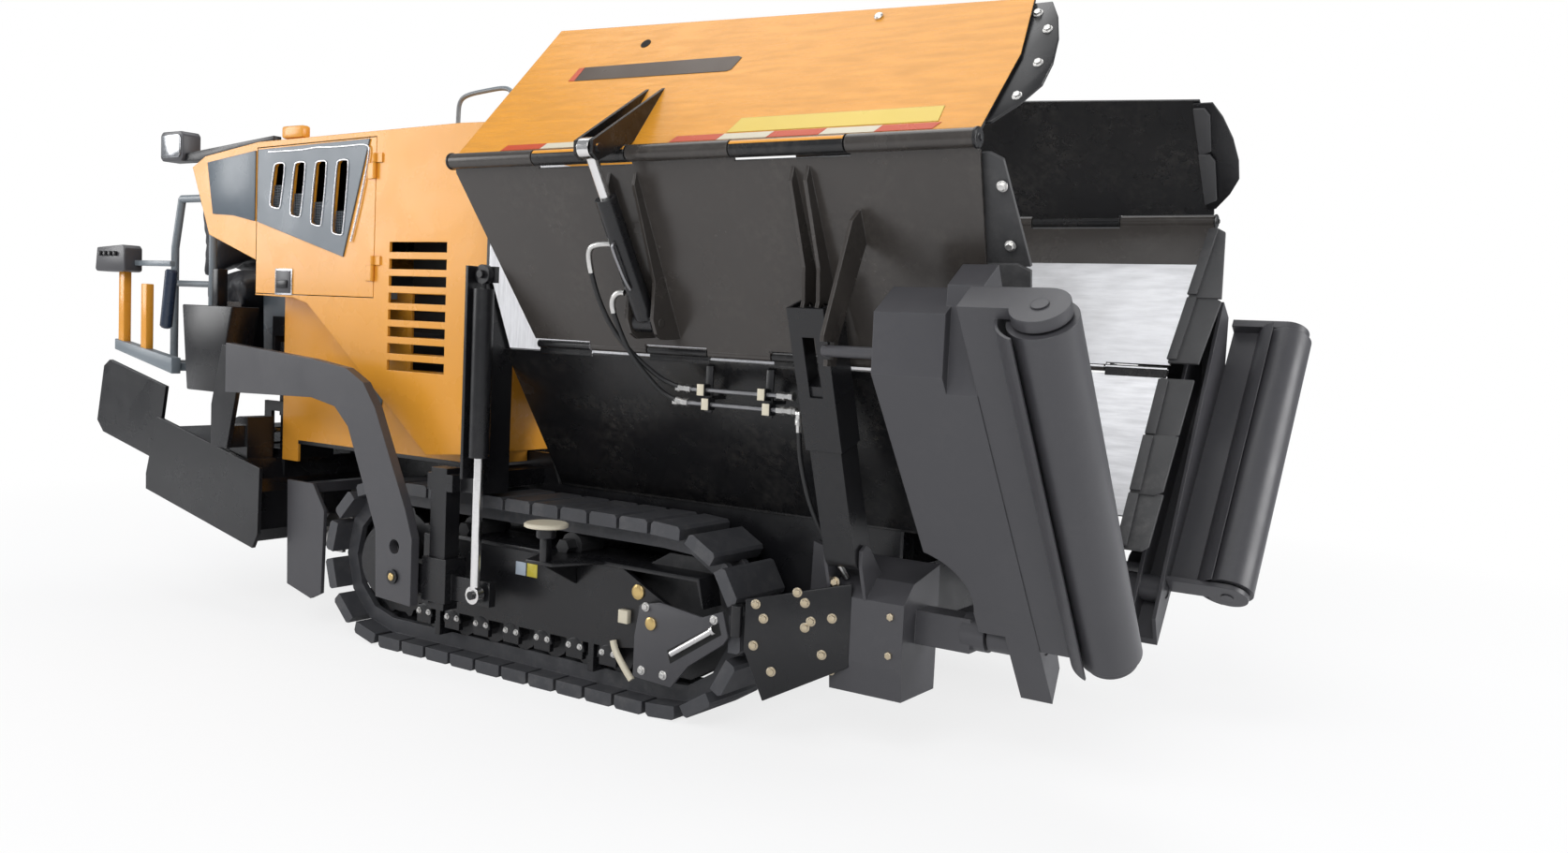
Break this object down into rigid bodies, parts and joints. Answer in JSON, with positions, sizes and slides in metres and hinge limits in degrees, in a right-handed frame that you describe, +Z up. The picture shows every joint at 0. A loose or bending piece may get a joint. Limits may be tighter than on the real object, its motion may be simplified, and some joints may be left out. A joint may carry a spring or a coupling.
{
  "type": "asphalt paver",
  "caption": "Compact tracked asphalt paver with hopper wings and push rollers folded up and its screed raised for transport.",
  "frame": {"origin": "on the ground at the centre of the machine's outline seen from above", "axes": "+X forward to the hopper, +Y to the machine's left, +Z up"},
  "size_m": [4.9059, 2.722, 2.3263],
  "materials": {
    "yellow_paint": "satin",
    "black_paint": "satin",
    "dark_grey_paint": "satin",
    "grey_paint": "satin",
    "worn_steel": "worn",
    "rubber_pad": "matte",
    "chrome_rod": "polished",
    "cast_block": "rough",
    "seat_cover": "matte",
    "dark_panel": "matte"
  },
  "bodies": {
    "machine": {"chassis_frame": "black_paint", "hopper_base": "dark_grey_paint", "conveyors": "worn_steel", "engine_hood": "yellow_paint", "engine_block": "cast_block", "operator_platform": "black_paint", "operator_console": "dark_panel", "platform_rails": "grey_paint", "seat_bases": "black_paint", "seat_cushions": "seat_cover", "seat_backs": "seat_cover", "sprockets": "black_paint", "track_rollers": "black_paint", "track_frames": "dark_grey_paint", "front_corners": "dark_grey_paint", "rear_guards": "grey_paint", "tow_guides": "black_paint", "level_barrels": "black_paint", "track_left": "rubber_pad", "track_right": "rubber_pad"},
    "tow_heads": {"tow_heads": "black_paint", "level_rods": "chrome_rod"},
    "screed": {"tow_arms": "dark_grey_paint", "main_screed": "black_paint"},
    "lift_barrels": {"lift_barrels": "black_paint"},
    "lift_rods": {"lift_rods": "chrome_rod"},
    "wing_left": {"wing_floor_left": "dark_grey_paint"},
    "side_wall_left": {"wing_wall_left": "yellow_paint"},
    "wall_barrel_left": {"wall_cylinder_barrel_left": "black_paint"},
    "wall_rod_left": {"wall_cylinder_rod_left": "chrome_rod"},
    "hoist_post_left": {"hoist_post_left": "dark_grey_paint"},
    "hoist_channel_left": {"hoist_channel_left": "dark_grey_paint"},
    "carrier_left": {"roller_carrier_left": "dark_grey_paint", "roller_brackets_left": "black_paint"},
    "roller_left": {"push_roller_left": "grey_paint"},
    "door_left": {"hood_door_left": "yellow_paint", "vent_panel_left": "dark_panel"},
    "extension_left": {"screed_extension_left": "black_paint"},
    "auger_left": {"auger_left": "worn_steel"},
    "wing_right": {"wing_floor_right": "dark_grey_paint"},
    "side_wall_right": {"wing_wall_right": "yellow_paint"},
    "wall_barrel_right": {"wall_cylinder_barrel_right": "black_paint"},
    "wall_rod_right": {"wall_cylinder_rod_right": "chrome_rod"},
    "hoist_post_right": {"hoist_post_right": "dark_grey_paint"},
    "hoist_channel_right": {"hoist_channel_right": "dark_grey_paint"},
    "carrier_right": {"roller_carrier_right": "dark_grey_paint", "roller_brackets_right": "black_paint"},
    "roller_right": {"push_roller_right": "grey_paint"},
    "door_right": {"hood_door_right": "yellow_paint", "vent_panel_right": "dark_panel"},
    "extension_right": {"screed_extension_right": "black_paint"},
    "auger_right": {"auger_right": "worn_steel"}
  },
  "joints": [
    {"name": "wing_fold_left", "type": "hinge", "parent": "machine", "child": "wing_left", "pos_m": [0, 0.8, 1.23], "axis": [-1, 0, 0], "range_deg": [0, 50]},
    {"name": "side_wall_fold_left", "type": "hinge", "parent": "wing_left", "child": "side_wall_left", "pos_m": [0, 1.10835, 1.82604], "axis": [-1, 0, 0], "range_deg": [0, 35]},
    {"name": "wall_barrel_swing_left", "type": "hinge", "parent": "wing_left", "child": "wall_barrel_left", "pos_m": [0.895, 0.93406, 1.3196], "axis": [-1, 0, 0], "range_deg": [-8, 8]},
    {"name": "wall_rod_slide_left", "type": "slide", "parent": "wall_barrel_left", "child": "wall_rod_left", "axis": [0, 0.5118, 0.8591], "range_m": [-0.11, 0.002]},
    {"name": "hoist_post_swing_left", "type": "hinge", "parent": "machine", "child": "hoist_post_left", "pos_m": [1.545, 0.715, 0.64], "axis": [-1, 0, 0], "range_deg": [-2, 15]},
    {"name": "hoist_slide_left", "type": "slide", "parent": "hoist_post_left", "child": "hoist_channel_left", "axis": [0, 0.3239, 0.9461], "range_m": [-0.17, 0.002]},
    {"name": "carrier_fold_left", "type": "hinge", "parent": "machine", "child": "carrier_left", "pos_m": [2.05, 0.575, 0.432], "axis": [-1, 0, 0], "range_deg": [0, 56]},
    {"name": "push_roller_spin_left", "type": "hinge", "parent": "carrier_left", "child": "roller_left", "pos_m": [2.365, 0.94372, 0.90628], "axis": [0, 0.5736, 0.8192], "continuous": true},
    {"name": "hood_door_left", "type": "hinge", "parent": "machine", "child": "door_left", "pos_m": [-0.5435, 0.8485, 1.6], "axis": [0, 0, -1], "range_deg": [0, 75]},
    {"name": "screed_extend_left", "type": "slide", "parent": "screed", "child": "extension_left", "axis": [0, 1, 0], "range_m": [0, 0.65]},
    {"name": "auger_spin_left", "type": "hinge", "parent": "machine", "child": "auger_left", "pos_m": [-1.03, 0.4, 0.42], "axis": [0, 1, 0], "continuous": true},
    {"name": "wing_fold_right", "type": "hinge", "parent": "machine", "child": "wing_right", "pos_m": [0, -0.8, 1.23], "axis": [1, 0, 0], "range_deg": [0, 50]},
    {"name": "side_wall_fold_right", "type": "hinge", "parent": "wing_right", "child": "side_wall_right", "pos_m": [0, -1.10835, 1.82604], "axis": [1, 0, 0], "range_deg": [0, 35]},
    {"name": "wall_barrel_swing_right", "type": "hinge", "parent": "wing_right", "child": "wall_barrel_right", "pos_m": [0.895, -0.93406, 1.3196], "axis": [1, 0, 0], "range_deg": [-8, 8]},
    {"name": "wall_rod_slide_right", "type": "slide", "parent": "wall_barrel_right", "child": "wall_rod_right", "axis": [0, -0.5118, 0.8591], "range_m": [-0.11, 0.002]},
    {"name": "hoist_post_swing_right", "type": "hinge", "parent": "machine", "child": "hoist_post_right", "pos_m": [1.545, -0.715, 0.64], "axis": [1, 0, 0], "range_deg": [-2, 15]},
    {"name": "hoist_slide_right", "type": "slide", "parent": "hoist_post_right", "child": "hoist_channel_right", "axis": [0, -0.3239, 0.9461], "range_m": [-0.17, 0.002]},
    {"name": "carrier_fold_right", "type": "hinge", "parent": "machine", "child": "carrier_right", "pos_m": [2.05, -0.575, 0.432], "axis": [1, 0, 0], "range_deg": [0, 56]},
    {"name": "push_roller_spin_right", "type": "hinge", "parent": "carrier_right", "child": "roller_right", "pos_m": [2.365, -0.94372, 0.90628], "axis": [0, -0.5736, 0.8192], "continuous": true},
    {"name": "hood_door_right", "type": "hinge", "parent": "machine", "child": "door_right", "pos_m": [-0.5435, -0.8485, 1.6], "axis": [0, 0, 1], "range_deg": [0, 75]},
    {"name": "screed_extend_right", "type": "slide", "parent": "screed", "child": "extension_right", "axis": [0, -1, 0], "range_m": [0, 0.65]},
    {"name": "auger_spin_right", "type": "hinge", "parent": "machine", "child": "auger_right", "pos_m": [-1.03, -0.4, 0.42], "axis": [0, 1, 0], "continuous": true},
    {"name": "tow_point_height", "type": "slide", "parent": "machine", "child": "tow_heads", "axis": [0, 0, 1], "range_m": [-0.05, 0.05]},
    {"name": "screed_lift", "type": "hinge", "parent": "tow_heads", "child": "screed", "pos_m": [-0.205, 0, 0.35], "axis": [0, -1, 0], "range_deg": [0, 12]},
    {"name": "lift_barrel_swing", "type": "hinge", "parent": "machine", "child": "lift_barrels", "pos_m": [-1.32, 0, 1.225], "axis": [0, -1, 0], "range_deg": [-8, 8]},
    {"name": "lift_rod_slide", "type": "slide", "parent": "lift_barrels", "child": "lift_rods", "axis": [0, 0, -1], "range_m": [0, 0.26]}
  ],
  "couplings": [
    {"joint": "wall_barrel_swing_left", "follows": "side_wall_fold_left", "ratio": 0.065365},
    {"joint": "wall_rod_slide_left", "follows": "side_wall_fold_left", "m_per_rad": -0.12019},
    {"joint": "hoist_post_swing_left", "follows": "wing_fold_left", "ratio": 0.19906},
    {"joint": "hoist_slide_left", "follows": "wing_fold_left", "m_per_rad": -0.15404},
    {"joint": "carrier_fold_left", "follows": "wing_fold_left", "ratio": 1.1},
    {"joint": "wall_barrel_swing_right", "follows": "side_wall_fold_right", "ratio": 0.065365},
    {"joint": "wall_rod_slide_right", "follows": "side_wall_fold_right", "m_per_rad": -0.12019},
    {"joint": "hoist_post_swing_right", "follows": "wing_fold_right", "ratio": 0.19906},
    {"joint": "hoist_slide_right", "follows": "wing_fold_right", "m_per_rad": -0.15404},
    {"joint": "carrier_fold_right", "follows": "wing_fold_right", "ratio": 1.1},
    {"joint": "lift_barrel_swing", "follows": "screed_lift", "ratio": -0.51941},
    {"joint": "lift_rod_slide", "follows": "screed_lift", "m_per_rad": 1.1453}
  ]
}
